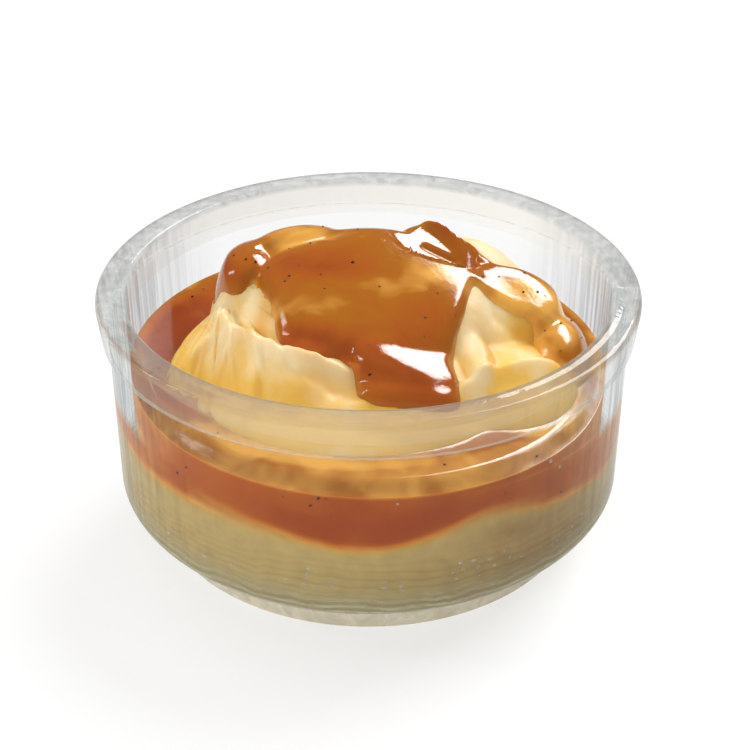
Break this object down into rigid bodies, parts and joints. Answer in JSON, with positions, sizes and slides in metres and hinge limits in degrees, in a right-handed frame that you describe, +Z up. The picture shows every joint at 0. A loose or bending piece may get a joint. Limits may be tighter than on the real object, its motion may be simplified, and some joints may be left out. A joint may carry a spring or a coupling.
{
  "type": "mashed potato side",
  "caption": "Mashed potato and gravy in a small clear glass bowl: a mash layer, a gravy layer and a scooped mound of mash with gravy poured over it.",
  "frame": {"origin": "middle of the bowl's underside, on the surface it stands on", "axes": "+Z up along the bowl's axis, -Y towards the front, where the broad tongue of gravy runs down, +X to the right"},
  "size_m": [0.1, 0.1, 0.0522],
  "materials": {
    "clear_glass": "clear pressed glass, polished",
    "mashed_potato": "smooth buttery mash, soft satin",
    "gravy": "wet, glossy, slightly translucent brown gravy",
    "black_pepper": "ground pepper specks"
  },
  "bodies": {
    "root": {"bowl": "clear_glass", "mash_base": "mashed_potato", "gravy_layer": "gravy", "mash_mound": "mashed_potato", "gravy_topping": "gravy"}
  },
  "joints": []
}
